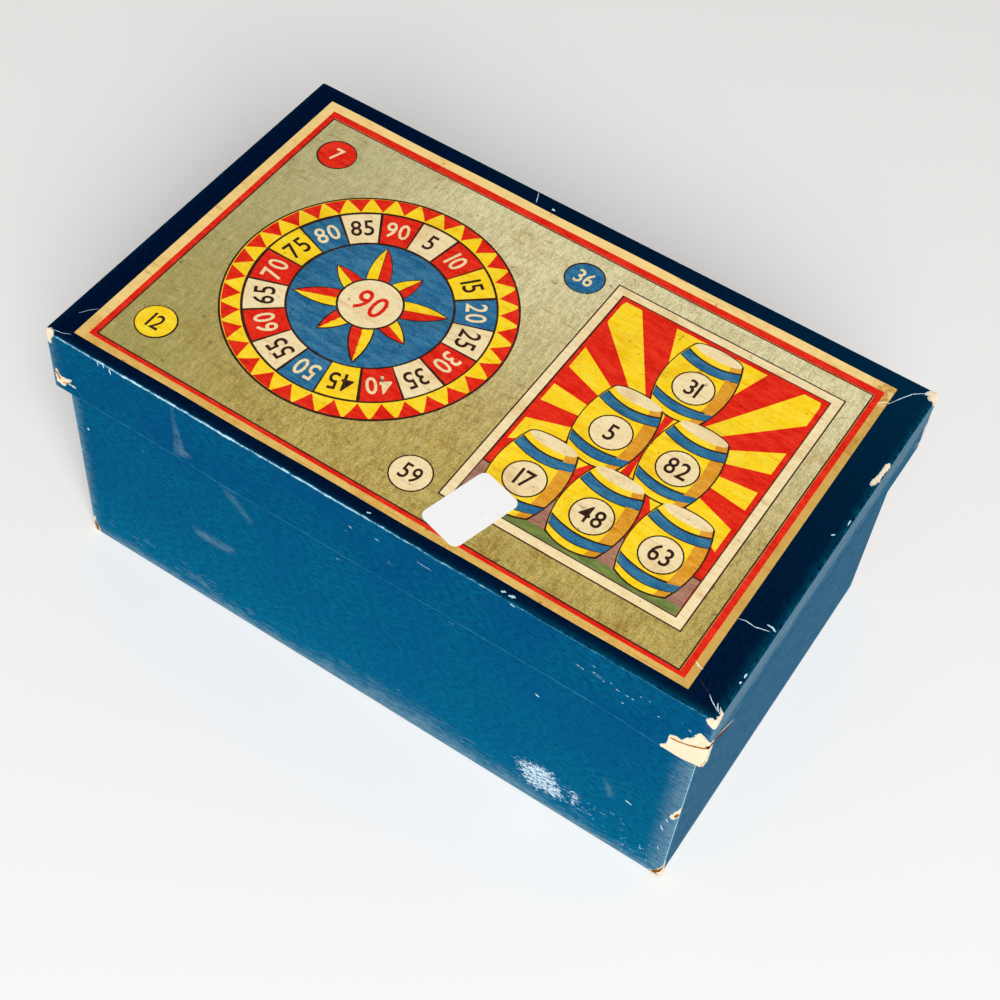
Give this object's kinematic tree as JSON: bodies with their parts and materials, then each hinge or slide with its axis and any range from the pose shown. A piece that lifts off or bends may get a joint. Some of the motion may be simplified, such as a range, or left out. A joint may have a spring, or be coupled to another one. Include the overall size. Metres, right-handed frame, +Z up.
{
  "type": "boxed number game",
  "caption": "Rectangular blue paper-covered game box with a lift-off lid, holding number cards and a divided insert with turned kegs, card counters and a folded draw bag.",
  "frame": {"origin": "middle of the underside, on the surface that the box stands on", "axes": "+X along the length, -Y out of the long front side, +Z up"},
  "size_m": [0.24, 0.145, 0.1076],
  "materials": {
    "strawboard": "raw straw-coloured board, matt, fibrous",
    "stay_paper": "brown gummed paper tape, matt",
    "blue_paper": "blue embossed covering paper, worn pale along the folds",
    "base_paper": "plain grey lining paper, rubbed",
    "label_print": "printed paper label with a soft lithographic grain, aged",
    "sticker_white": "blank white self-adhesive paper",
    "card_stock": "printed pasteboard, matt",
    "insert_card": "grey-buff card, matt",
    "keg_wood": "turned birch, waxed",
    "counter_red": "dyed pasteboard, matt",
    "counter_yellow": "dyed pasteboard, matt",
    "counter_blue": "dyed pasteboard, matt",
    "linen": "unbleached plain-weave linen"
  },
  "bodies": {
    "tray": {"tray_board": "strawboard", "tray_corner_stays": "stay_paper", "tray_covering_paper": "blue_paper", "tray_base_sheet": "base_paper"},
    "cards": {"card_01": "card_stock", "card_02": "card_stock", "card_03": "card_stock", "card_04": "card_stock", "card_05": "card_stock", "card_06": "card_stock", "card_07": "card_stock", "card_08": "card_stock", "card_09": "card_stock", "card_10": "card_stock", "card_11": "card_stock", "card_12": "card_stock", "card_13": "card_stock", "card_14": "card_stock", "card_15": "card_stock", "card_16": "card_stock", "card_17": "card_stock", "card_18": "card_stock", "card_19": "card_stock", "card_20": "card_stock", "card_21": "card_stock", "card_22": "card_stock", "card_23": "card_stock", "card_24": "card_stock"},
    "insert": {"insert_tray": "insert_card", "long_divider": "insert_card", "cross_divider": "insert_card", "kegs_01_to_10": "keg_wood", "kegs_11_to_20": "keg_wood", "kegs_21_to_30": "keg_wood", "kegs_31_to_40": "keg_wood", "kegs_41_to_50": "keg_wood", "kegs_51_to_60": "keg_wood", "kegs_61_to_70": "keg_wood", "kegs_71_to_80": "keg_wood", "kegs_81_to_90": "keg_wood", "counters_blue": "counter_blue", "counters_red": "counter_red", "counters_yellow": "counter_yellow", "draw_bag": "linen"},
    "lid": {"lid_board": "strawboard", "lid_corner_stays": "stay_paper", "lid_covering_paper": "blue_paper", "lid_label": "label_print", "stock_sticker": "sticker_white"}
  },
  "joints": [
    {"name": "card_lift", "type": "slide", "parent": "tray", "child": "cards", "axis": [0, 0, 1], "range_m": [0, 0.11]},
    {"name": "insert_lift", "type": "slide", "parent": "cards", "child": "insert", "axis": [0, 0, 1], "range_m": [0, 0.07]},
    {"name": "lid_lift", "type": "slide", "parent": "insert", "child": "lid", "axis": [0, 0, 1], "range_m": [0, 0.12]}
  ]
}
